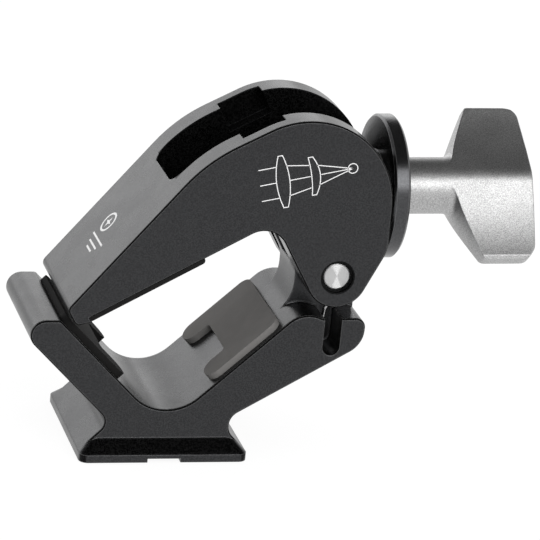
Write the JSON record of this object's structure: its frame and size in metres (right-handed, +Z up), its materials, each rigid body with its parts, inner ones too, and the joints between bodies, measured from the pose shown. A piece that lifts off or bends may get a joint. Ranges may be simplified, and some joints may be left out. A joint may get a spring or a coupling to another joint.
{
  "type": "binocular clamp",
  "caption": "Vee-jaw clamp on a square dovetail foot, with a hinged upper arm that a wing knob on a swinging stud draws down on a bar.",
  "frame": {"origin": "centre of the dovetail foot's underside", "axes": "+Z up, +X towards the wing knob along the stud at rest, +Y along the pivot pin"},
  "size_m": [0.1143, 0.038, 0.0785],
  "materials": {
    "black_body": "bead-blasted, black anodised",
    "silver_knob": "bead-blasted, clear anodised",
    "disc_black": "satin black",
    "pad_rubber": "matt",
    "pin_steel": "turned end",
    "spring_steel": "drawn wire",
    "nut_steel": "dark oxide",
    "bush_bronze": "plain",
    "washer_plastic": "natural"
  },
  "bodies": {
    "base": {"lower_jaw": "black_body", "left_jaw_pad": "pad_rubber", "right_jaw_pad": "pad_rubber", "pivot_bush_front": "bush_bronze", "pivot_bush_back": "bush_bronze", "opening_spring_front": "spring_steel", "opening_spring_back": "spring_steel"},
    "arm": {"upper_arm": "black_body", "arm_pad": "pad_rubber", "pivot_pin": "pin_steel"},
    "trunnion": {"barrel_nut": "nut_steel"},
    "carriage": {"pressure_disc": "disc_black", "thrust_washer": "washer_plastic"},
    "knob": {"wing_knob": "silver_knob", "clamp_stud": "nut_steel", "snap_ring": "spring_steel"}
  },
  "joints": [
    {"name": "arm_open", "type": "hinge", "parent": "base", "child": "arm", "pos_m": [0.0364, 0, 0.0426], "axis": [0, 1, 0], "range_deg": [0, 30]},
    {"name": "stud_swing", "type": "hinge", "parent": "base", "child": "trunnion", "pos_m": [0.0274, 0, 0.0586], "axis": [0, -1, 0], "range_deg": [0, 90]},
    {"name": "disc_travel", "type": "slide", "parent": "trunnion", "child": "carriage", "axis": [0.9999, 0, 0.015], "range_m": [0, 0.0092]},
    {"name": "knob_turn", "type": "hinge", "parent": "carriage", "child": "knob", "pos_m": [0.0274, 0, 0.0586], "axis": [0.9999, 0, 0.015], "range_deg": [0, 3312]}
  ],
  "couplings": [
    {"joint": "knob_turn", "follows": "disc_travel", "rad_per_m": 6283.2},
    {"joint": "arm_open", "follows": "disc_travel", "rad_per_m": 56.913}
  ]
}
